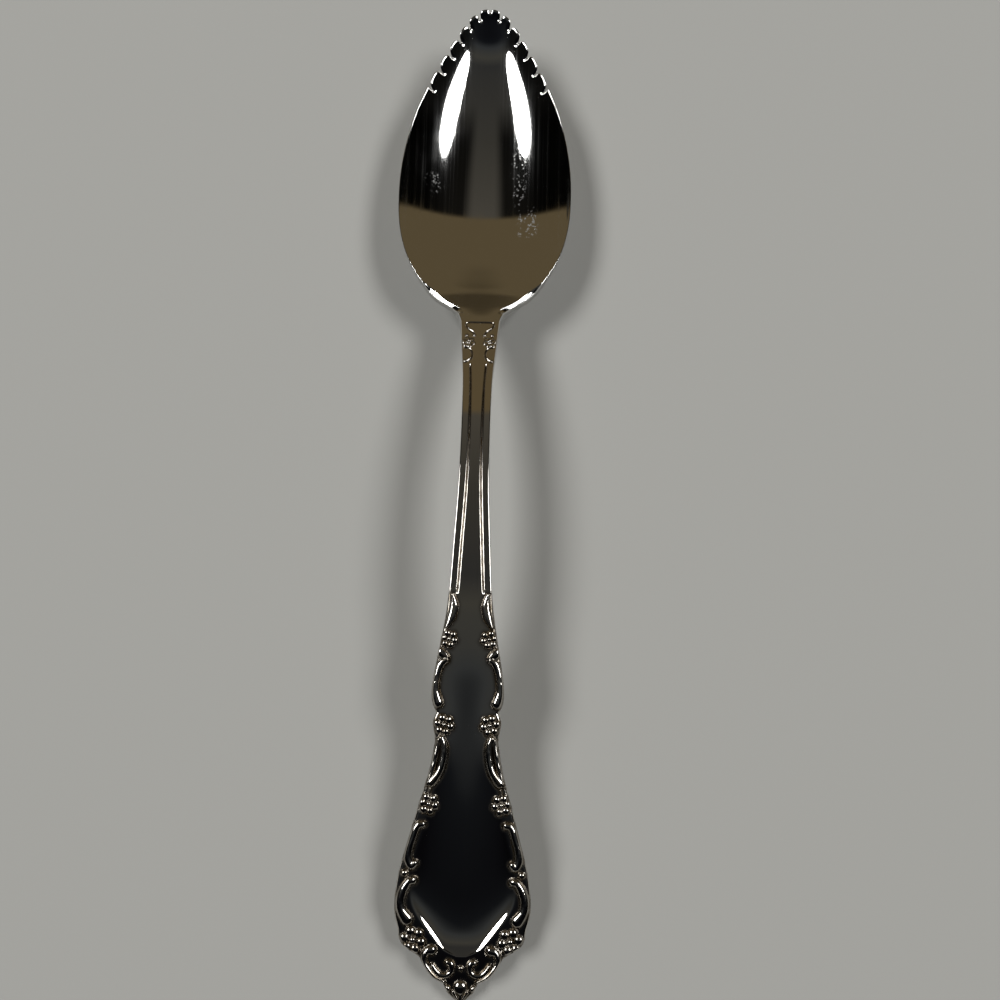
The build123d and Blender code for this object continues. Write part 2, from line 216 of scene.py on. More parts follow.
# Beads as (station, across) along a path, radii along it and height
BEADS = (
    (((52.6, 2.45), (51.2, 2.2), (49.6, 2.5), (48.3, 3.1)), (0.3, 0.62, 0.6, 0.25), 0.45),
    (((45.0, 4.0), (44.6, 3.4), (44.3, 2.95)), (0.7, 0.65, 0.45), 0.55),
    (((43.9, 3.0), (43.3, 3.75), (41.8, 4.3), (39.9, 4.42), (38.3, 4.0)),
     (0.45, 0.58, 0.62, 0.62, 0.75), 0.6),
    (((33.4, 3.75), (31.6, 4.1), (29.6, 4.55), (27.9, 5.1)), (0.4, 0.42, 0.45, 0.6), 0.5),
    (((33.6, 3.4), (32.4, 3.0), (30.8, 3.1), (29.2, 3.6), (27.9, 4.6)), (0.55, 0.6, 0.6, 0.6, 0.65), 0.62),
    (((22.5, 5.6), (22.3, 6.25), (21.1, 6.8), (19.4, 7.3), (18.1, 7.4), (17.2, 7.0), (17.5, 6.45)),
     (0.55, 0.55, 0.6, 0.62, 0.65, 0.6, 0.5), 0.62),
    (((15.3, 6.65), (15.1, 7.25), (14.15, 7.9), (12.85, 8.3), (11.5, 8.1), (10.4, 7.35)),
     (0.6, 0.55, 0.65, 0.68, 0.7, 0.85), 0.65),
    (((6.6, 3.95), (6.3, 4.65), (5.3, 4.95), (4.2, 4.35), (3.2, 3.4), (2.6, 2.3)),
     (0.7, 0.5, 0.5, 0.5, 0.5, 0.4), 0.6),
    (((4.7, 3.75), (3.8, 3.1), (3.45, 2.2), (3.9, 1.35), (4.8, 1.25), (5.1, 1.75)),
     (0.35, 0.45, 0.45, 0.45, 0.5, 0.45), 0.55),
    (((1.4, 0.85), (0.55, 0.35)), (0.35, 0.2), 0.35),
    (((27.1, 4.75), (26.3, 4.85)), (0.2, 0.22), 0.35),
)
# Knobs as (station, across) of the middle, radius and height
KNOBS = (
    ((16.2, 7.85), 0.5, 0.4),
    ((1.95, 0.0), 0.95, 0.6),
    ((1.8, 1.75), 0.5, 0.42),
    ((4.35, 0.0), 0.4, 0.35),
    ((93.3, 1.95), 0.22, 0.16),
    ((93.3, 0.78), 0.22, 0.16),
    ((88.3, 2.0), 0.22, 0.16),
)
# Engraved lines of the neck: crest and leaves, then half width, depth and the stations they lie between
ENGRAVED = (
    ((95.95, 0.0), (95.95, 1.1), (95.85, 1.9), (95.33, 2.1), (94.6, 1.75), (94.0, 1.1), (93.6, 0.85)),
    ((90.9, 2.15), (90.6, 1.35), (89.6, 0.97), (88.7, 1.2), (88.2, 1.85)),
)
LINE_RADIUS = 0.15
LINE_DEPTH = 0.1
NECK_LINES = (87, 97)
# Groove and bead along each edge of the stem, and the stations over which they start and end
GROOVE_INSET = 1.18
GROOVE_WIDTH = 0.1
GROOVE_DEPTH = 0.22
GROOVE_STARTS = (52.6, 53.4)
GROOVE_ENDS = (87.4, 88.0)
STEM_BEAD = 0.04
# Dished panel of the handle by station: its ends, half width and depth
PANEL_ENDS = (5.8, 45.5)
PANEL_HALF = (
    (5.8, 0.5), (6.3, 1.7), (7.5, 3.2), (9.5, 4.8), (12.0, 6.5), (14.5, 7.1), (18.0, 6.5), (22.0, 5.4),
    (26.0, 4.3), (30.0, 3.3), (34.0, 2.75), (37.0, 2.7), (40.0, 2.9), (43.0, 2.6), (45.5, 1.6),
)
PANEL_DEPTH = (
    (5.8, 0.0), (7.4, 0.42), (9.5, 0.64), (14.0, 0.7), (20.0, 0.64), (25.0, 0.56), (31.0, 0.47),
    (35.5, 0.36), (38.5, 0.25), (40.6, 0.155), (42.0, 0.09), (43.2, 0.045), (44.4, 0.015), (45.5, 0.0),
)
# Section of the panel: farthest share across, power of its flat part, then its round part and softening
PANEL_PAST = 1.5
FLAT_POWER = 8
ROUND_PART = (0.6, 0.4)
ROUND_GROWTH = (12, 38)
SOFTENING = (0.03, 0.22)
SOFT_GROWTH = (30, 38)
# Painted shade along the foot of the forms: its width, at the neck too, and how it spreads out of the stem's
# groove
FOOT_WIDTH = 0.3
NECK_FOOT = 0.08
GROOVE_SPREAD = 0.35
# How far from its places a form can reach, a distance past all forms, and readings for each point of a path
FORM_REACH = 1.6
FAR = 9.0
PATH_READINGS = 12


def along_path(path, radii):
    """Places and radii read closely along a path, smooth through its points."""
    share = np.linspace(0, 1, PATH_READINGS * len(path))
    marks = np.linspace(0, 1, len(path))
    stations = through([(mark, point[0]) for mark, point in zip(marks, path)], share)
    sides = through([(mark, point[1]) for mark, point in zip(marks, path)], share)
    return list(zip(stations, sides, np.interp(share, np.linspace(0, 1, len(radii)), radii)))


def dome(station, across, places, height):
    """Half-round form over a row of places: half an ellipse over the distance to the nearest.

    Also gives how far each point lies from the foot of the form.
    """
    best = np.full(station.shape, -FAR)
    gap = np.full(station.shape, FAR)
    for place, side, reach in places:
        distance = np.hypot(station - place, across - side)
        best = np.maximum(best, 1 - (distance / reach) ** 2)
        gap = np.minimum(gap, distance - reach)
    return height * np.sqrt(np.maximum(best, 0)), np.abs(gap)


def blossom_forms(centre, radius, height):
    """Forms of a blossom: round petals that touch in a ring, and a small round heart."""
    station, across = centre
    ring = PETAL_RING * radius
    forms = [([(station, across, HEART_RADIUS * radius)], HEART_HEIGHT * height)]
    for turn in np.linspace(0, 2 * np.pi, PETALS, endpoint=False) + PETAL_TURN:
        petal = (station + ring * np.cos(turn), across + ring * np.sin(turn), PETAL_RADIUS * radius)
        forms.append(([petal], PETAL_HEIGHT * height))
    return forms


def ornament_forms():
    """All struck forms as rows of places and a height."""
    forms = []
    for centre, radius, height in BLOSSOMS:
        forms += blossom_forms(centre, radius, height)
    for path, radii, height in BEADS:
        forms.append((along_path(path, radii), height))
    for centre, radius, height in KNOBS:
        forms.append(([(*centre, radius)], height))
    return forms


def panel(station, side):
    """Depth of the dish in the handle's face.

    The depth is scaled by one less a round part of the squared way across and the rest of its eighth power.
    Half the sum of that and the root of its square plus a softening keeps it from going below nothing.
    """
    within = np.clip(station, *PANEL_ENDS)
    share = np.clip(side / through(PANEL_HALF, within), 0, PANEL_PAST)
    round_part = ROUND_PART[0] + ROUND_PART[1] * ease(*ROUND_GROWTH, station)
    below = 1 - round_part * share**2 - (1 - round_part) * share**FLAT_POWER
    soft = SOFTENING[0] + SOFTENING[1] * ease(*SOFT_GROWTH, station)
    return 0.5 * through(PANEL_DEPTH, within) * (below + np.sqrt(below**2 + soft))


def relief(station, across, width):
    """Height of the struck ornament over the face, the highest of its forms, and a mask of painted shade
    along the foot of the forms, in the engraved lines and in the stem's groove.

    The panel between them is a dish and the neck has fine lines. The stem has a half-round bead along each
    edge, and inside it a groove that falls off by the bell curve.
    """
    side = np.abs(across)
    top = np.zeros_like(station)
    foot_shade = np.zeros_like(station)
    # Painted shade gathers along the foot of each form, then in the engraved lines and the stem's groove
    for places, height in ornament_forms():
        ends = [place[0] for place in places]
        rows = (station[:, 0] > min(ends) - FORM_REACH) & (station[:, 0] < max(ends) + FORM_REACH)
        form, gap = dome(station[rows], side[rows], places, height)
        top[rows] = np.maximum(top[rows], form)
        foot_width = NECK_FOOT if min(ends) > NECK_LINES[0] else FOOT_WIDTH
        foot_shade[rows] = np.maximum(foot_shade[rows], np.exp(-((gap / foot_width) ** 2)))
    rows = (station[:, 0] > NECK_LINES[0]) & (station[:, 0] < NECK_LINES[1])
    for path in ENGRAVED:
        places = along_path(path, (LINE_RADIUS, LINE_RADIUS))
        line, _ = dome(station[rows], side[rows], places, LINE_DEPTH)
        top[rows] -= line
        foot_shade[rows] = np.maximum(foot_shade[rows], line / LINE_DEPTH)
    along = stretch(GROOVE_STARTS, GROOVE_ENDS, station)
    inset = width - side
    groove = np.exp(-(((inset - GROOVE_INSET) / GROOVE_WIDTH) ** 2))
    bead_half = GROOVE_INSET / 2
    bead = np.sqrt(np.clip(1 - ((inset - bead_half) / bead_half) ** 2, 0, 1))
    foot_shade = np.maximum(foot_shade, along * groove**GROOVE_SPREAD)
    return top - panel(station, side) + along * (STEM_BEAD * bead - GROOVE_DEPTH * groove), foot_shade


def handle_top(station, share):
    """Points of the handle's face at stations and shares of its half width, with rounded edges.

    Also gives the mask of painted shade along the foot of its ornament.
    """
    width = half_width(station)
    reach = 0.05
    turn = (half_width(station + reach) - half_width(np.maximum(station - reach, 0))) / (2 * reach)
    across = width * share
    distance = (width - np.abs(across)) / np.hypot(1, turn)
    rise, foot_shade = relief(station, across, width)
    slim = stretch(SLIM_STARTS, SLIM_ENDS, station)
    height = face(station) + rise - round_off(TOP_ROUND - (TOP_ROUND - STEM_ROUND) * slim, distance)
    return np.stack([across, station, height], -1), foot_shade


def handle_back(station, share):
    """Points of the handle's back: the face less the metal, a little crowned, with rounded edges."""
    width = half_width(station)
    across = width * share
    distance = width - np.abs(across)
    crown = BACK_CROWN * (1 - share**2)
    height = face(station) - through(HANDLE_METAL, station) - crown * ease(*CROWN_START, station)
    return np.stack([across, station, np.maximum(height + round_off(BACK_ROUND, distance), 0.0)], -1)


def handle_ring(station, top_shares, back_shares):
    """Closed section of the handle: across its face from left to right, then back across its back."""
    columns = station[:, None]
    top, foot_shade = handle_top(columns + 0 * top_shares, top_shares + 0 * columns)
    back = handle_back(columns + 0 * back_shares, back_shares + 0 * columns)
    return np.concatenate([top, back], 1), np.concatenate([foot_shade, np.zeros(back.shape[:2])], 1)


def to_metres(points):
    """Millimetres of across, station and height to metres in the spoon's frame."""
    return (points - np.array([0, LENGTH / 2, 0])) * MM


def add_piece(name, points, faces, normals, recess_shade, nodes, material):
    """Mesh piece with smooth faces, its own normals and its values of painted recess shade, standing for the
    named solids.
    """
    mesh = bpy.data.meshes.new(name)
    mesh.from_pydata(to_metres(points).tolist(), [], faces)
    mesh.polygons.foreach_set("use_smooth", np.ones(len(mesh.polygons), bool))
    mesh.update()
    mesh.normals_split_custom_set_from_vertices(normals.tolist())
    mesh.attributes.new("recess_shade", "FLOAT", "POINT").data.foreach_set("value", recess_shade.astype(np.float32))
    piece = bpy.data.objects.new(name, mesh)
    bpy.context.scene.collection.objects.link(piece)
    piece.data.materials.append(material)
    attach(piece, "root")
    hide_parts(*nodes)


def grid_faces(index):
    """Quads between neighbours in a grid of point numbers."""
    corners = [index[:-1, :-1], index[:-1, 1:], index[1:, 1:], index[1:, :-1]]
    return np.stack(corners, -1).reshape(-1, 4)


# Mesh of the handle: even and edge parts of the spread across its face, columns of its back, least station
EVEN_SPREAD = 0.7
EDGE_SPREAD = 0.3
BACK_COLUMNS = 28
HANDLE_START = 0.001


def handle_length(name, stations, columns, nodes, material):
    """Length of handle: its sections along the stations, normals from the sections just before and after."""
    spread = np.linspace(-1, 1, columns)
    top_shares = EVEN_SPREAD * spread + EDGE_SPREAD * np.sin(spread * np.pi / 2)
    back_shares = np.cos(np.linspace(0, np.pi, BACK_COLUMNS))
    ring, recess_shade = handle_ring(stations, top_shares, back_shares)
    reach = 0.03
    ahead, _ = handle_ring(stations + reach, top_shares, back_shares)
    behind, _ = handle_ring(np.maximum(stations - reach, HANDLE_START), top_shares, back_shares)
    along = ahead - behind
    around = np.roll(ring, -1, 1) - np.roll(ring, 1, 1)
    normals = np.cross(around, along)
    normals /= np.maximum(np.linalg.norm(normals, axis=-1, keepdims=True), 1e-9)
    rows, count = ring.shape[:2]
    index = np.arange(rows * count).reshape(rows, count)
    faces = grid_faces(np.concatenate([index, index[:, :1]], 1)).tolist()
    faces.append(index[0, ::-1].tolist())
    faces.append(index[-1].tolist())
    add_piece(name, ring.reshape(-1, 3), faces, normals.reshape(-1, 3), recess_shade.ravel(), nodes, material)


# Outline of the bowl, read off finely once
OUTLINE_READINGS = 4000
outline_across, outline_station = np.transpose(BOWL_OUTLINE)
outline_marks = np.concatenate([[0], np.cumsum(np.linalg.norm(np.diff(BOWL_OUTLINE, axis=0), axis=1))])
readings = np.linspace(outline_marks[1], outline_marks[-2], OUTLINE_READINGS)
edge_across = through(list(zip(outline_marks, outline_across)), readings)
edge_station = through(list(zip(outline_marks, outline_station)), readings)
edge_run = np.concatenate([[0], np.cumsum(np.hypot(np.diff(edge_across), np.diff(edge_station)))])
EDGE_LENGTH = edge_run[-1]
notch_numbers = np.arange(SIDE_NOTCHES + 1)
NOTCHES = notch_numbers * FIRST_PITCH + notch_numbers**2 * PITCH_GROWTH
TEETH_START = EDGE_LENGTH - NOTCHES[-1] - 2 * LAST_LEDGE


def bowl_half(station):
    """Half width of the bowl at a station, read off its outline."""
    return np.interp(station, np.maximum.accumulate(edge_station), edge_across)


def dish(across, edge, half, depth):
    """Arc across the bowl that meets its edge height at its half width and is a depth lower in the middle."""
    half = np.maximum(half, LEAST_HALF)
    depth = np.maximum(depth, LEAST_DEPTH_SHARE * half)
    radius = (half**2 + depth**2) / (2 * depth)
    return edge - depth + radius - np.sqrt(np.maximum(radius**2 - across**2, 0))


def hollow(across, station):
    """Height of the bowl's inside: the higher of its basin and the neck's tongue that runs down into it.

    The basin is an arc across, as deep as a share of its half width. The tongue's slope goes from the neck's
    to its own by an exponential, and it is dished by the square of across. The crease between is eased.
    """
    half = bowl_half(station)
    basin = dish(across, through(RIM_HEIGHT, station), half, through(BASIN_SHARE, station) * half)
    past = np.maximum(station - NECK, 0)
    ramp = NECK_HEIGHT - TONGUE_SLOPE * past + (TONGUE_SLOPE - NECK_SLOPE) * (1 - np.exp(-past))
    ramp = ramp + TONGUE_DISH * across**2 * ease(*TONGUE_DISH_START, past)
    fill = np.maximum(CREASE - np.abs(basin - ramp), 0) ** 2 / (4 * CREASE)
    return np.maximum(basin, ramp) + fill * ease(*CREASE_START, past)


def belly(across, station):
    """Height of the bowl's outside: an arc lower than the basin by the metal, cut flat by wear below."""
    half = bowl_half(station)
    rim = through(RIM_HEIGHT, station)
    floor = rim - through(BASIN_SHARE, station) * half - through(BELLY_METAL, station)
    edge = rim - through(EDGE_METAL, station)
    return np.maximum(dish(across, edge, half, np.maximum(edge - floor, LEAST_BELLY)), 0.0)


def notch_inset(run):
    """How far the toothed edge lies inside the outline: round lobes between notches, a superellipse each."""
    from_tip = EDGE_LENGTH - run
    number = np.clip(np.searchsorted(NOTCHES, from_tip, side="right") - 1, 0, SIDE_NOTCHES)
    start = NOTCHES[number]
    end = np.append(NOTCHES, NOTCHES[-1] + 2 * LAST_LEDGE)[number + 1]
    reach = (end - start) / 2 - NOTCH_FLOOR
    share = np.clip((from_tip - (start + end) / 2) / reach, -1, 1)
    lobe = 1 - (1 - np.abs(share) ** TOOTH_FULLNESS) ** (1 / TOOTH_FULLNESS)
    depth = np.where((share < 0) & (number == 0), TIP_NOTCH, SIDE_NOTCH)
    past_teeth = (from_tip > (start + end) / 2) & (number == SIDE_NOTCHES)
    return np.where(past_teeth, 0, depth * lobe)


def toothed_edge(run):
    """Outline of the bowl at a run along it, and its toothed edge, moved in square to it by the notches."""
    across = np.interp(run, edge_run, edge_across)
    station = np.interp(run, edge_run, edge_station)
    reach = 0.15
    ahead = run + reach
    behind = run - reach
    way_across = np.interp(ahead, edge_run, edge_across) - np.interp(behind, edge_run, edge_across)
    way_station = np.interp(ahead, edge_run, edge_station) - np.interp(behind, edge_run, edge_station)
    inset = notch_inset(run) / np.hypot(way_across, way_station)
    outline = np.stack([across, station], -1)
    return outline, np.stack([across - inset * way_station, station + inset * way_across], -1)


def mesh_normals(points, faces):
    """Vertex normals that a plain mesh of the faces has."""
    mesh = bpy.data.meshes.new("draft")
    mesh.from_pydata(points.tolist(), [], faces)
    mesh.update()
    normals = np.zeros(len(points) * 3)
    mesh.vertex_normals.foreach_get("vector", normals)
    bpy.data.meshes.remove(mesh)
    return normals.reshape(-1, 3)


# Mesh of the bowl: readings of its edge, rays along the plain and the toothed edge, and points along a ray
EDGE_READINGS = 12000
PLAIN_RAYS = 130
TOOTH_RAYS = 360
INSIDE_POINTS = 40
LIP_POINTS = 16
UNDER_STEP = 3
# Rays start on the middle line up to a distance short of the tip, spread along it by an easing
SPINE_SHORT = 7.0
SPINE_EASE = (-0.15, 1.15)
# Width of the lip, what the teeth and the heel add to it, and where these and the neck blend in
LIP_WIDTH = 0.9
TOOTH_LIP = 1.5
HEEL_LIP = 0.8
TOOTH_BLEND = 5
NECK_BLEND = 6
HEEL_STARTS = (NECK + 1.0, NECK + 2.5)
HEEL_ENDS = (NECK + 5.8, NECK + 8.0)
# Half width of the tip within which the far side's teeth are near
TIP_HALF = 3


def ray_ends():
    """Runs along the bowl's outline where its rays end, evenly spaced along the toothed edge itself."""
    runs = np.linspace(0, EDGE_LENGTH, EDGE_READINGS)
    _, traced = toothed_edge(runs)
    walked = np.concatenate([[0], np.cumsum(np.linalg.norm(np.diff(traced, axis=0), axis=1))])
    start = np.interp(TEETH_START, runs, walked)
    plain = np.linspace(0, start, PLAIN_RAYS)[:-1]
    toothed = np.linspace(start, walked[-1], TOOTH_RAYS)
    return np.interp(np.concatenate([plain, toothed]), walked, runs)


def bowl_rays():
    """Right half of the bowl as rays of points, and the places on the inside that they start with.

    A ray runs from the middle line at the hollow's height to the toothed edge, and back below at the belly's.
    The lip falls by a quarter round towards the edge, above and below.
    """
    run = ray_ends()
    outline, edge = toothed_edge(run)
    edge[0, 1] = NECK
    edge[-1, 0] = 0
    share = (outline[:, 1] - NECK) / (LENGTH - NECK)
    spine = NECK + (LENGTH - SPINE_SHORT - NECK) * ease(*SPINE_EASE, share)
    spine = np.stack([np.zeros_like(spine), spine - spine[0] + NECK], -1)
    toothed = ease(TEETH_START - TOOTH_BLEND, TEETH_START, run)[:, None]
    at_heel = stretch(HEEL_STARTS, HEEL_ENDS, outline[:, 1])[:, None]
    ray = outline - spine
    lip = LIP_WIDTH + TOOTH_LIP * toothed + HEEL_LIP * at_heel
    shoulder = outline - ray * lip / np.linalg.norm(ray, axis=1, keepdims=True)
    shoulder[-1, 0] = 0
    inward = np.linspace(0, 1, INSIDE_POINTS)[None, :, None]
    outward = np.sin(np.linspace(0, np.pi / 2, LIP_POINTS))[None, 1:, None]
    inner = spine[:, None] + (shoulder - spine)[:, None] * inward
    outer = shoulder[:, None] + (edge - shoulder)[:, None] * outward
    under = inner[:, ::-UNDER_STEP]
    mirrored_tip = edge[edge[:, 0] < TIP_HALF] * np.array([-1, 1])
    all_edge = np.concatenate([edge, mirrored_tip])
    distance = np.linalg.norm(outer[:, :, None] - all_edge[None, None], axis=-1).min(-1)
    distance[:, -1] = 0
    near_neck = 1 - ease(NECK, NECK + NECK_BLEND, outer[..., 1])
    soft_top = RIM_ROUND + (TOP_ROUND - RIM_ROUND) * near_neck + (TOOTH_ROUND - RIM_ROUND) * toothed
    soft_top = soft_top + (HEEL_ROUND - soft_top) * at_heel
    soft_back = BELLY_ROUND + (BACK_ROUND - BELLY_ROUND) * near_neck
    inside = hollow(inner[..., 0], inner[..., 1])
    lip_top = hollow(outer[..., 0], outer[..., 1]) - round_off(soft_top, distance)
    lip_back = belly(outer[..., 0], outer[..., 1]) + round_off(soft_back, distance)
    outside = belly(under[..., 0], under[..., 1])
    plan = np.concatenate([inner, outer, outer[:, ::-1], under], 1)
    heights = np.concatenate([inside, lip_top, lip_back[:, ::-1], outside], 1)
    return np.dstack([plan, heights]), inner


def hollow_normals(places):
    """Normals of the bowl's inside at places across and along, from its slopes over a short step."""
    across = places[..., 0]
    station = places[..., 1]
    step = 0.02
    slope_across = (hollow(across + step, station) - hollow(across - step, station)) / (2 * step)
    slope_along = (hollow(across, station + step) - hollow(across, station - step)) / (2 * step)
    normals = np.stack([-slope_across, -slope_along, np.ones_like(across)], -1)
    return normals / np.linalg.norm(normals, axis=-1, keepdims=True)


def bowl_piece(name, nodes, material):
    """Bowl: its right half, its mirror half, which shares the points on the middle line, and a flat end."""
    half, inner = bowl_rays()
    rows, count = half.shape[:2]
    on_middle = np.zeros((rows, count), bool)
    on_middle[:, [0, -1]] = True
    on_middle[-1, :] = True
    right = np.arange(rows * count).reshape(rows, count)
    left = np.where(on_middle, right, 0)
    left[~on_middle] = rows * count + np.arange((~on_middle).sum())
    mirror = np.array([-1, 1, 1])
    points = np.concatenate([half.reshape(-1, 3), half[~on_middle] * mirror])
    faces = grid_faces(right).tolist() + grid_faces(left)[:, ::-1].tolist()
    normals = mesh_normals(points, faces)
    known = hollow_normals(inner)
    columns = inner.shape[1]
    normals[right[:, :columns]] = known
    normals[left[:, :columns]] = np.where(on_middle[:, :columns, None], known, known * mirror)
    faces.append(np.concatenate([right[0], left[0, -2:0:-1]]).tolist())
    add_piece(name, points, faces, normals, np.zeros(len(points)), nodes, material)


def add_node(tree, kind, inputs=None, **settings):
    """New node with its settings; each input is linked to a socket or set to a value."""
    node = tree.nodes.new(kind)
    for name, value in settings.items():
        setattr(node, name, value)
    for name, value in (inputs or {}).items():
        if isinstance(value, bpy.types.NodeSocket):
            tree.links.new(value, node.inputs[name])
        else:
            node.inputs[name].default_value = value
    return node


def reckon(tree, operation, first, second=0.0, third=0.0):
    """Result of a sum on one to three values."""
    return add_node(tree, "ShaderNodeMath", {0: first, 1: second, 2: third}, operation=operation).outputs[0]


def between(tree, value, low, high, start=0.0, end=1.0):
    """Value eased from start to end while the input goes from low to high."""
    inputs = {"Value": value, "From Min": low, "From Max": high, "To Min": start, "To Max": end}
    return add_node(tree, "ShaderNodeMapRange", inputs, interpolation_type="SMOOTHSTEP").outputs["Result"]


def mix_colours(tree, share, first, second):
    """Colour that goes from the first to the second by a share; sockets 6, 7 and 2 are the colour ones."""
    mix = add_node(tree, "ShaderNodeMix", {"Factor": share, 6: first, 7: second}, data_type="RGBA")
    return mix.outputs[2]


def scale_colour(tree, colour, share):
    """Colour made darker by a share."""
    inputs = {0: colour, "Scale": share}
    return add_node(tree, "ShaderNodeVectorMath", inputs, operation="SCALE").outputs["Vector"]


def stretched_noise(tree, vector, grain, detail=2.0):
    """Noise whose grain is as fine along each axis as it says, per metre."""
    moved = add_node(tree, "ShaderNodeMapping", {"Vector": vector, "Scale": grain})
    inputs = {"Vector": moved.outputs["Vector"], "Scale": 1.0, "Detail": detail, "Roughness": 0.6}
    return add_node(tree, "ShaderNodeTexNoise", inputs).outputs["Fac"]


# Marks of the polish: grain of each kind, noise over which it dulls the gloss and by how much, then the film
SCRATCH_GRAIN = (2600, 12, 12)
SCRATCH_DETAIL = 3.0
STREAK_GRAIN = (700, 8, 8)
SMUDGE_GRAIN = (160, 110, 160)
SCRATCH_DULLING = (0.5, 0.72, 0.0, 0.05)
STREAK_DULLING = (0.42, 0.7, 0.0, 0.03)
SMUDGE_DULLING = (0.5, 0.75, 0.0, 0.03)
FILM = (0.38, 0.64, 0.01, 0.13)
FILM_ROUGHNESS = 0.2
POLISH_ROUGHNESS = 0.04
SCRATCH_HEIGHT = 0.12
MARK_STRENGTH = 0.5
MARK_DEPTH = 0.00001
DIRT_AND_SHADE_ROUGHNESS = 0.25

# Colours of the two steels, clean and dirty: dried drops in the bowl, and painted shade along the foot of the
# handle's forms
BOWL_CLEAN = (0.66, 0.655, 0.64, 1)
BOWL_DROPS = (0.2, 0.2, 0.19, 1)
# The handle's clean steel is tinted warmer than the bowl's: a painted warm reflection
HANDLE_WARM_SHEEN_STEEL = (0.66, 0.635, 0.59, 1)
HANDLE_PAINTED_SHADE = (0.085, 0.06, 0.03, 1)

# Patches of dried drops in the bowl as across, station, half width and half length, and how each eases off
DROP_PATCHES = ((5.6, 128.5, 1.5, 8.0), (7.2, 118.0, 2.2, 4.0), (-8.6, 125.5, 1.9, 2.2))
PATCH_EDGE = (0.5, 1.0, 1.0, 0.0)
# Drops: cells per metre, distance from a cell's middle over which a drop fades, noise that breaks them up
DROP_CELLS = 2600.0
DROP_EDGE = (0.2, 0.6, 0.8, 0.0)
DROP_GRAIN = (1300, 800, 1300)
DROP_BREAKS = (0.5, 0.62)
# Painted shade along the handle's recesses: grain of its unevenness and the shares it goes between
SHADE_GRAIN = (700, 700, 700)
SHADE_UNEVEN = (0.3, 0.65, 0.6, 1.0)


def polish_marks():
    """Node group of polished metal's marks: fine lengthwise scratches, broader streaks and smudges."""
    group = bpy.data.node_groups.new("polish_marks", "ShaderNodeTree")
    group.interface.new_socket("Vector", in_out="INPUT", socket_type="NodeSocketVector")
    wear = group.interface.new_socket("Wear", in_out="INPUT", socket_type="NodeSocketFloat")
    wear.default_value = 1.0
    for output in ("Roughness", "Height", "Film"):
        group.interface.new_socket(output, in_out="OUTPUT", socket_type="NodeSocketFloat")
    enter = group.nodes.new("NodeGroupInput")
    leave = group.nodes.new("NodeGroupOutput")
    vector = enter.outputs["Vector"]
    scratches = stretched_noise(group, vector, SCRATCH_GRAIN, SCRATCH_DETAIL)
    streaks = stretched_noise(group, vector, STREAK_GRAIN)
    smudges = stretched_noise(group, vector, SMUDGE_GRAIN)
    fine = between(group, scratches, *SCRATCH_DULLING)
    broad = between(group, streaks, *STREAK_DULLING)
    dull = between(group, smudges, *SMUDGE_DULLING)
    marks = reckon(group, "ADD", reckon(group, "ADD", fine, broad), dull)
    rough = reckon(group, "ADD", reckon(group, "MULTIPLY", marks, enter.outputs["Wear"]), POLISH_ROUGHNESS)
    group.links.new(rough, leave.inputs["Roughness"])
    height = reckon(group, "ADD", reckon(group, "MULTIPLY", scratches, SCRATCH_HEIGHT), streaks)
    group.links.new(height, leave.inputs["Height"])
    film = between(group, scratches, *FILM)
    group.links.new(reckon(group, "MULTIPLY", film, enter.outputs["Wear"]), leave.inputs["Film"])
    return group


def steel_material(name, marks, wear, clean, dirt_and_shade_colour, dirt_and_shade, dirt_and_shade_metal):
    """Polished steel: scratches spread its gloss and stir its normal, and its dirt and painted shade dull it.

    Dirt and painted shade come from a function that makes their mask from the tree and coordinates, and a
    share says how much of them is metal.
    """
    material = bpy.data.materials.new(name)
    material.use_nodes = True
    tree = material.node_tree
    shader = tree.nodes["Principled BSDF"]
    shader.inputs["Metallic"].default_value = 1.0
    shader.inputs["Coat Roughness"].default_value = FILM_ROUGHNESS
    vector = add_node(tree, "ShaderNodeTexCoord").outputs["Object"]
    worn = add_node(tree, "ShaderNodeGroup", node_tree=marks)
    worn.inputs["Wear"].default_value = wear
    tree.links.new(vector, worn.inputs["Vector"])
    tree.links.new(worn.outputs["Film"], shader.inputs["Coat Weight"])
    mask = dirt_and_shade(tree, vector)
    if dirt_and_shade_metal < 1:
        bare = reckon(tree, "MULTIPLY_ADD", mask, dirt_and_shade_metal - 1.0, 1.0)
        tree.links.new(bare, shader.inputs["Metallic"])
    tree.links.new(mix_colours(tree, mask, clean, dirt_and_shade_colour), shader.inputs["Base Color"])
    rough = reckon(tree, "ADD", worn.outputs["Roughness"], reckon(tree, "MULTIPLY", mask, DIRT_AND_SHADE_ROUGHNESS))
    tree.links.new(rough, shader.inputs["Roughness"])
    marked = {"Height": worn.outputs["Height"], "Strength": MARK_STRENGTH, "Distance": MARK_DEPTH}
    bump = add_node(tree, "ShaderNodeBump", marked)
    tree.links.new(bump.outputs["Normal"], shader.inputs["Normal"])
    return material


def drop_patch(tree, vector, across, station, wide, long):
    """Mask of an oval patch in the bowl."""
    scale = (1 / (wide * MM), 1 / (long * MM), 0)
    shift = (-across / wide, (LENGTH / 2 - station) / long, 0)
    moved = add_node(tree, "ShaderNodeMapping", {"Vector": vector, "Location": shift, "Scale": scale})
    far = add_node(tree, "ShaderNodeVectorMath", {0: moved.outputs["Vector"]}, operation="LENGTH")
    return between(tree, far.outputs["Value"], *PATCH_EDGE)


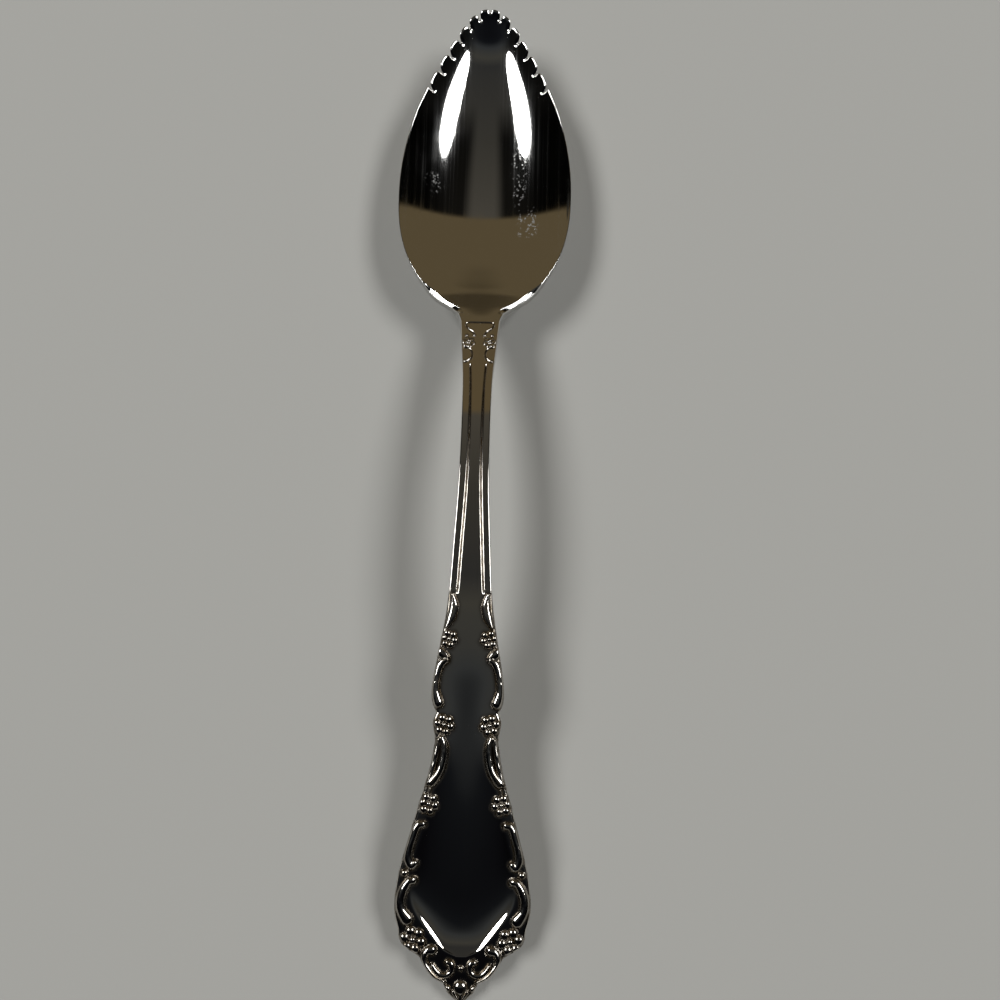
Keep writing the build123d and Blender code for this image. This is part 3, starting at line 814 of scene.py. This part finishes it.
def water_marks(tree, vector):
    """Mask of dried drops: small broken specks, kept to a few patches."""
    cells = add_node(tree, "ShaderNodeTexVoronoi", {"Vector": vector, "Scale": DROP_CELLS})
    specks = between(tree, cells.outputs["Distance"], *DROP_EDGE)
    broken = between(tree, stretched_noise(tree, vector, DROP_GRAIN), *DROP_BREAKS)
    patches, *others = [drop_patch(tree, vector, *patch) for patch in DROP_PATCHES]
    for other in others:
        patches = reckon(tree, "MAXIMUM", patches, other)
    return reckon(tree, "MULTIPLY", reckon(tree, "MULTIPLY", specks, broken), patches)


def painted_recess_shade(tree, vector):
    """Mask of painted shade along the foot of the struck forms, in the engraved lines and in the stem's
    groove, a little uneven.
    """
    recess_shade = add_node(tree, "ShaderNodeAttribute", attribute_name="recess_shade").outputs["Fac"]
    uneven = between(tree, stretched_noise(tree, vector, SHADE_GRAIN), *SHADE_UNEVEN)
    return reckon(tree, "MULTIPLY", recess_shade, uneven)


polish = polish_marks()
bowl_steel = steel_material(
    "bowl_steel", polish, wear=1.0, clean=BOWL_CLEAN, dirt_and_shade_colour=BOWL_DROPS, dirt_and_shade=water_marks, dirt_and_shade_metal=0.2)
# The handle's dark colour along the foot of its forms is painted shade
handle_steel = steel_material(
    "handle_steel", polish, wear=0.5, clean=HANDLE_WARM_SHEEN_STEEL, dirt_and_shade_colour=HANDLE_PAINTED_SHADE, dirt_and_shade=painted_recess_shade,
    dirt_and_shade_metal=1.0)

# Stations of the handle's sections: close first ones, then start, end and number along plate and stem
TIP_STATIONS = (0.01, 0.04, 0.1, 0.2)
PLATE_PART = (0.32, PLATE_END, 420)
STEM_PARTS = ((PLATE_END, 54, 36), (54, 87, 90), (87, NECK, 120))
PLATE_COLUMNS = 170
STEM_COLUMNS = 110
PLATE_NODES = (
    "handle_plate", "shoulder_blossoms", "shoulder_scrolls", "waist_blossoms", "waist_scrolls",
    "flare_blossoms", "upper_side_scrolls", "lower_side_scrolls", "end_blossoms", "end_scrolls", "finial",
)
STEM_NODES = ("stem", "neck_scrolls", "neck_blossoms", "shoulder_buds")

plate_stations = np.concatenate([TIP_STATIONS, np.linspace(*PLATE_PART)])
stem_stations = np.concatenate([np.linspace(*part)[:-1] for part in STEM_PARTS] + [[NECK]])
handle_length("handle_plate_dressed", plate_stations, PLATE_COLUMNS, PLATE_NODES, handle_steel)
handle_length("stem_dressed", stem_stations, STEM_COLUMNS, STEM_NODES, handle_steel)
bowl_piece("bowl_dressed", ("bowl",), bowl_steel)


# Lights: distance from the spoon, distance along it and length
LIGHT_REACH = 2.4
LIGHT_AHEAD = 0.29
LIGHT_LENGTH = 1.48
# Ceiling's grey by the part of a direction along the spoon
CEILING = (
    (-0.55, (0.003, 0.003, 0.004)),
    (-0.45, (0.008, 0.009, 0.011)),
    (-0.36, (0.04, 0.043, 0.045)),
    (-0.2, (0.06, 0.058, 0.05)),
    (-0.08, (0.034, 0.034, 0.033)),
    (0.3, (0.05, 0.047, 0.04)),
    (0.6, (0.08, 0.073, 0.06)),
)
# Ceiling's dark edge by the part of a direction across, where it starts along, and how the far sides dim
CEILING_EDGE = (0.13, 0.3)
CEILING_EDGE_START = (0.12, 0.3, 0.0, 0.9)
CEILING_SIDES = (0.35, 0.75, 1.0, 0.12)
# Wall beyond the bowl: its colour, and by the part along where it starts and how it dims towards its foot
WALL = (0.125, 0.094, 0.05)
WALL_START = (0.6, 0.63)
WALL_FOOT = (0.955, 0.988, 1.0, 0.45)
# Floor: half its side and its colour
FLOOR_REACH = 3.0
FLOOR_COLOUR = (0.385, 0.383, 0.362, 1)


def floor_plane():
    """Plain pale floor, a large flat square."""
    mesh = bpy.data.meshes.new("floor")
    corners = [(x * FLOOR_REACH, y * FLOOR_REACH, 0) for x, y in ((-1, -1), (1, -1), (1, 1), (-1, 1))]
    mesh.from_pydata(corners, [], [(0, 1, 2, 3)])
    floor = bpy.data.objects.new("floor", mesh)
    bpy.context.scene.collection.objects.link(floor)
    material = bpy.data.materials.new("pale_floor")
    material.use_nodes = True
    shader = material.node_tree.nodes["Principled BSDF"]
    shader.inputs["Base Color"].default_value = FLOOR_COLOUR
    shader.inputs["Roughness"].default_value = 0.9
    shader.inputs["Specular IOR Level"].default_value = 0.1
    floor.data.materials.append(material)


def side_light(name, side, tilt, width, power):
    """Long soft oval light beside and above the spoon, at a tilt from straight above, turned towards it."""
    lamp = bpy.data.lights.new(name, "AREA")
    lamp.shape = "ELLIPSE"
    lamp.size = width
    lamp.size_y = LIGHT_LENGTH
    lamp.energy = power
    light = bpy.data.objects.new(name, lamp)
    turn = np.radians(tilt)
    light.location = (side * LIGHT_REACH * np.sin(turn), LIGHT_AHEAD, LIGHT_REACH * np.cos(turn))
    light.rotation_euler = (0, side * turn, 0)
    bpy.context.scene.collection.objects.link(light)


def studio_world():
    """Dim plain studio, the same for every ray: a grey ceiling, dark to its sides, and a warm wall.

    A direction's part along the spoon gives the ceiling's grey and where the wall starts, and its part across
    says how far it lies to the side.
    """
    world = bpy.data.worlds.new("studio")
    bpy.context.scene.world = world
    world.use_nodes = True
    tree = world.node_tree
    direction = add_node(tree, "ShaderNodeTexCoord").outputs["Generated"]
    parts = add_node(tree, "ShaderNodeSeparateXYZ", {"Vector": direction}).outputs
    side = reckon(tree, "ABSOLUTE", parts["X"])
    along = parts["Y"]
    grey = add_node(tree, "ShaderNodeValToRGB", {"Fac": reckon(tree, "MULTIPLY_ADD", along, 0.5, 0.5)})
    stops = grey.color_ramp.elements
    for along_part, shade in CEILING:
        stop = stops.new((along_part + 1) / 2)
        stop.color = (*shade, 1)
    stops.remove(stops[0])
    stops.remove(stops[-1])
    edge_start = between(tree, along, *CEILING_EDGE_START)
    edge = reckon(tree, "MULTIPLY", between(tree, side, *CEILING_EDGE), edge_start)
    inside_edge = reckon(tree, "SUBTRACT", 1.0, edge)
    lit = reckon(tree, "MULTIPLY", inside_edge, between(tree, side, *CEILING_SIDES))
    ceiling = scale_colour(tree, grey.outputs["Color"], lit)
    wall = scale_colour(tree, WALL, between(tree, along, *WALL_FOOT))
    room = mix_colours(tree, between(tree, along, *WALL_START), ceiling, wall)
    tree.links.new(room, tree.nodes["Background"].inputs["Color"])


def photo_camera():
    """Camera close above the handle, looking steeply down along the spoon."""
    camera = bpy.data.objects.new("camera", bpy.data.cameras.new("camera"))
    camera.data.lens = 34.2
    camera.data.sensor_width = 36.0
    camera.data.clip_start = 0.005
    camera.location = (0.004685, -0.05047, 0.141431)
    camera.rotation_euler = (np.radians(17.03), 0, np.radians(1.351))
    bpy.context.scene.collection.objects.link(camera)
    bpy.context.scene.camera = camera


floor_plane()
side_light("left_light", side=-1, tilt=39, width=0.82, power=40)
side_light("right_light", side=1, tilt=40.5, width=0.76, power=34)
studio_world()
photo_camera()
bpy.context.scene.view_settings.view_transform = "Standard"
